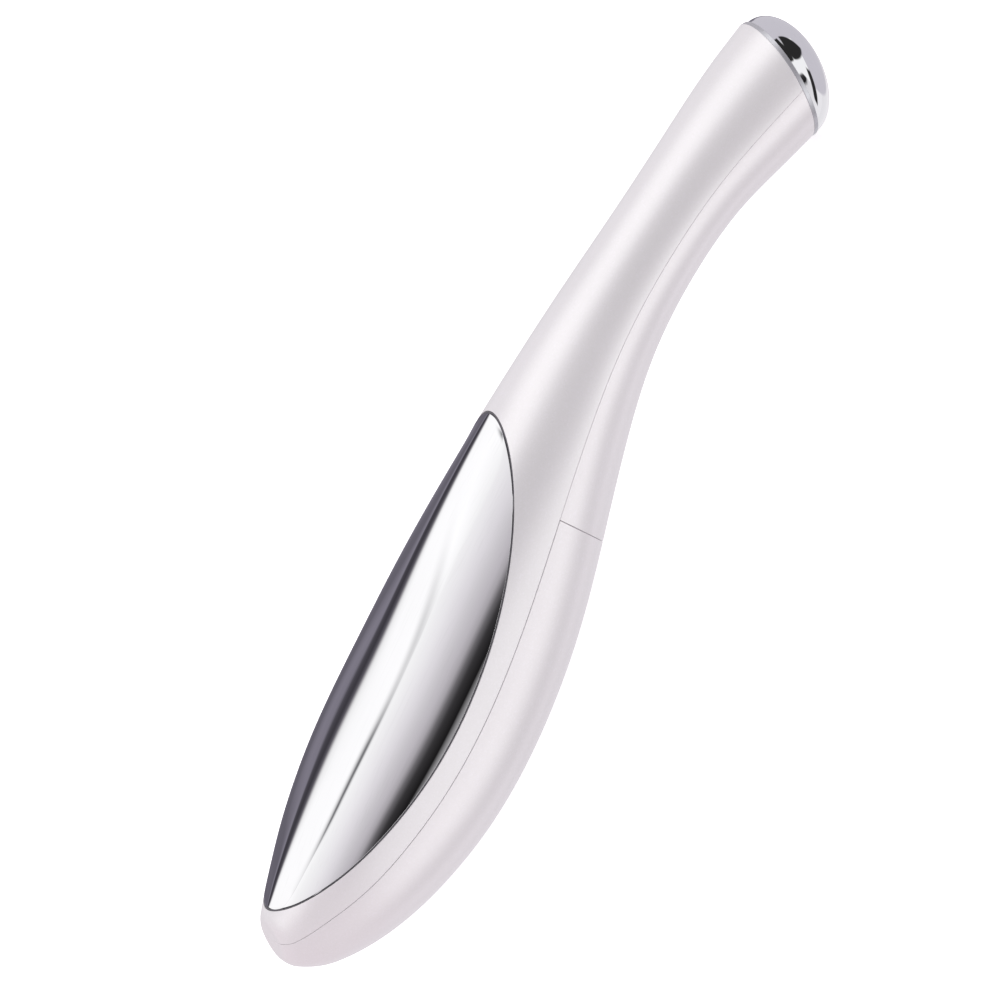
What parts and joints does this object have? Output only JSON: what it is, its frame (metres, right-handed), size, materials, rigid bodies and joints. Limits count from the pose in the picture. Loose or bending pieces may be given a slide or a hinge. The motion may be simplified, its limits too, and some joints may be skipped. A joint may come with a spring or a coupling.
{
  "type": "heated eye massager wand",
  "caption": "Slim handheld eye massager wand: heated polished leaf-shaped plate on a curved pearl handle, sliding battery door and a domed push button at the tail.",
  "frame": {"origin": "middle of the bounding box at its base, with the wand lying on its back", "axes": "+X from the head to the tail, +Z the side with the massage plate, +Y across"},
  "size_m": [0.1398, 0.0266, 0.0258],
  "materials": {
    "pearl_shell": "pearl lacquer, glossy",
    "door_shell": "pearl lacquer, glossy",
    "plate_metal": "mirror polished",
    "collar_chrome": "satin",
    "button_chrome": "mirror polished",
    "seal_rubber": "satin",
    "white_plastic": "fine moulded grain",
    "black_plastic": "fine moulded grain",
    "board_green": "solder mask, semi gloss",
    "spring_steel": "nickel plated",
    "steel": "drawn and plated",
    "weight_metal": "sintered",
    "cell_jacket": "plain printed sleeve",
    "copper_coil": "enamelled wire",
    "ceramic_part": "fired, matt",
    "film_amber": "amber film with etched track",
    "pad_grey": "soft, matt",
    "cradle_rubber": "matt",
    "wire_red": "satin",
    "wire_blue": "satin",
    "wire_black": "satin"
  },
  "bodies": {
    "casing": {"front_shell": "pearl_shell", "back_shell": "pearl_shell", "massage_plate": "plate_metal", "plate_seal": "seal_rubber", "tail_ring": "collar_chrome", "switch_carrier": "white_plastic", "switch_body": "black_plastic", "switch_board": "board_green", "battery_tray": "white_plastic", "battery_cell": "cell_jacket", "negative_spring": "spring_steel", "positive_contact": "spring_steel", "main_board": "board_green", "control_chip": "black_plastic", "boost_coil": "copper_coil", "capacitors": "ceramic_part", "heater_driver": "black_plastic", "heater_film": "film_amber", "thermal_pad": "pad_grey", "thermistor": "black_plastic", "motor_can": "steel", "motor_end_cap": "white_plastic", "motor_cradle": "cradle_rubber", "case_screw": "steel", "tray_screw": "steel", "heater_wires": "wire_red", "battery_wires": "wire_red", "motor_wires": "wire_blue", "switch_wires": "wire_black"},
    "door": {"battery_door": "door_shell"},
    "button": {"power_button": "button_chrome", "switch_plunger": "black_plastic"},
    "rotor": {"motor_shaft": "steel", "eccentric_weight": "weight_metal"}
  },
  "joints": [
    {"name": "door_slide", "type": "slide", "parent": "casing", "child": "door", "axis": [-0.9925, 0, -0.1219], "range_m": [0, 0.066]},
    {"name": "button_press", "type": "slide", "parent": "casing", "child": "button", "axis": [-0.8192, 0, 0.5736], "range_m": [0, 0.0003], "stiffness_N_per_m": 2500, "springref_m": -0.0002},
    {"name": "motor_spin", "type": "hinge", "parent": "casing", "child": "rotor", "pos_m": [0.02225, 0, 0.01516], "axis": [1, 0, 0], "continuous": true}
  ]
}
